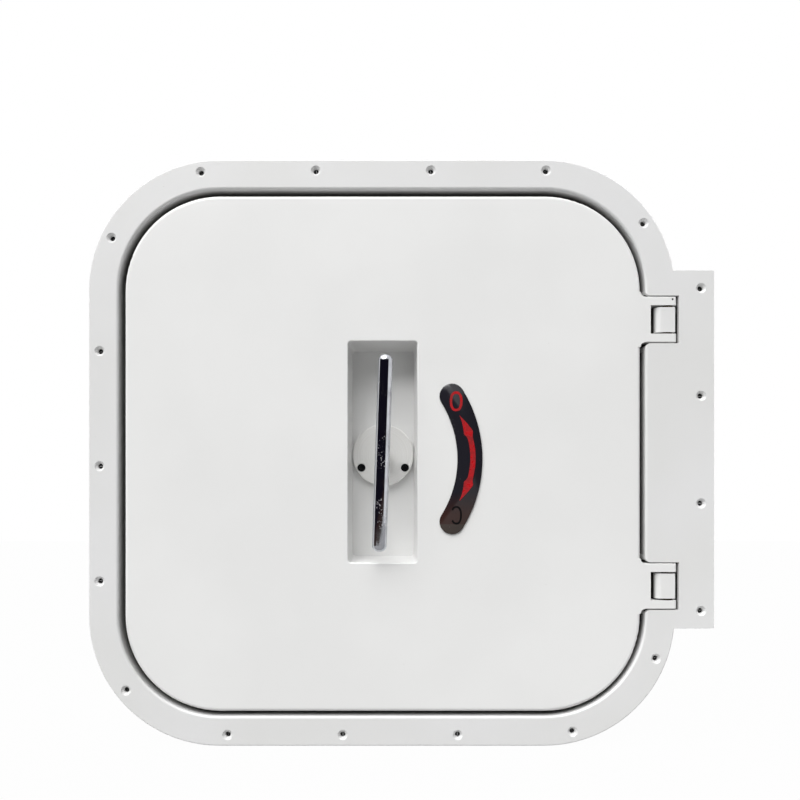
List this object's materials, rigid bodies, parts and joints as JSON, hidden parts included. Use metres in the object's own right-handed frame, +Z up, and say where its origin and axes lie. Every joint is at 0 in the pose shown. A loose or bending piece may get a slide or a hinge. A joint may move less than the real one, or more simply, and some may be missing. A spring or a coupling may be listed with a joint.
{
  "type": "watertight hatch",
  "caption": "Flush watertight bulkhead hatch: hinged square leaf with round corners, seal, central handle bar in a recess, and sliding dogs driven by a spiral cam.",
  "frame": {"origin": "the handle's axis where it crosses the plane of the frame's outer face, which is the centre of the leaf", "axes": "+Y inboard through the bulkhead, +Z up, +X to the right and towards the hinges for someone outside"},
  "size_m": [0.7755, 0.19, 0.727],
  "materials": {
    "frame_paint": "satin",
    "leaf_paint": "satin",
    "housing_steel": "satin",
    "handle_chrome": "polished",
    "bright_steel": "satin",
    "zinc_steel": "satin",
    "black_screw": "satin",
    "bearing_bronze": "satin",
    "seal_rubber": "matte",
    "label_acrylic": "gloss"
  },
  "bodies": {
    "frame": {"outer_frame": "frame_paint", "frame_coaming": "frame_paint", "coaming_corners": "frame_paint", "sealing_ledge": "frame_paint", "hinge_pocket_upper": "frame_paint", "hinge_pocket_lower": "frame_paint", "bedding_gasket": "seal_rubber", "hinge_block_upper": "frame_paint", "hinge_block_lower": "frame_paint", "hinge_block_screws": "black_screw", "hinge_bushes": "bearing_bronze", "strike_plates": "bright_steel", "strike_screws": "bright_steel"},
    "leaf": {"leaf_panel": "leaf_paint", "hinge_fork_upper": "leaf_paint", "hinge_fork_lower": "leaf_paint", "leaf_skirt": "leaf_paint", "leaf_skirt_corners": "leaf_paint", "seal_retainer": "leaf_paint", "seal_retainer_corners": "leaf_paint", "handle_recess_pan": "leaf_paint", "back_stiffeners": "leaf_paint", "outer_guides": "leaf_paint", "mechanism_plate": "leaf_paint", "bearing_housing": "housing_steel", "hinge_pin_upper": "bright_steel", "hinge_pin_lower": "bright_steel", "hinge_lock_pin": "bright_steel", "inner_guides": "zinc_steel", "housing_screws": "black_screw", "guide_screws": "black_screw", "front_bush": "bearing_bronze", "rear_bush": "bearing_bronze", "thrust_washer": "bearing_bronze", "door_gasket": "seal_rubber", "spindle_o_rings": "seal_rubber", "indicator_plate": "label_acrylic"},
    "handle": {"handle_bar": "handle_chrome", "spindle": "bright_steel", "drive_key": "zinc_steel", "cam_plate": "zinc_steel", "inner_handle": "bright_steel", "spindle_washer": "zinc_steel", "spindle_nut": "zinc_steel"},
    "dog_top_bolt": {"dog_top": "zinc_steel", "dog_pin_top": "zinc_steel"},
    "dog_bottom_bolt": {"dog_bottom": "zinc_steel", "dog_pin_bottom": "zinc_steel"},
    "dog_lock_side_bolt": {"dog_lock_side": "zinc_steel", "dog_pin_lock_side": "zinc_steel"},
    "dog_hinge_side_bolt": {"dog_hinge_side": "zinc_steel", "dog_pin_hinge_side": "zinc_steel"}
  },
  "joints": [
    {"name": "leaf_swing", "type": "hinge", "parent": "frame", "child": "leaf", "pos_m": [0.3545, 0.009, 0.001], "axis": [0, 0, 1], "range_deg": [0, 105]},
    {"name": "handle_turn", "type": "hinge", "parent": "leaf", "child": "handle", "pos_m": [0, 0, 0], "axis": [0, 1, 0], "range_deg": [0, 90]},
    {"name": "dog_top_slide", "type": "slide", "parent": "leaf", "child": "dog_top_bolt", "axis": [0, 0, 1], "range_m": [0, 0.025]},
    {"name": "dog_bottom_slide", "type": "slide", "parent": "leaf", "child": "dog_bottom_bolt", "axis": [0, 0, -1], "range_m": [0, 0.025]},
    {"name": "dog_lock_side_slide", "type": "slide", "parent": "leaf", "child": "dog_lock_side_bolt", "axis": [-1, 0, 0], "range_m": [0, 0.025]},
    {"name": "dog_hinge_side_slide", "type": "slide", "parent": "leaf", "child": "dog_hinge_side_bolt", "axis": [1, 0, 0], "range_m": [0, 0.025]}
  ],
  "couplings": [
    {"joint": "dog_top_slide", "follows": "handle_turn", "m_per_rad": 0.015915},
    {"joint": "dog_bottom_slide", "follows": "handle_turn", "m_per_rad": 0.015915},
    {"joint": "dog_lock_side_slide", "follows": "handle_turn", "m_per_rad": 0.015915},
    {"joint": "dog_hinge_side_slide", "follows": "handle_turn", "m_per_rad": 0.015915}
  ]
}
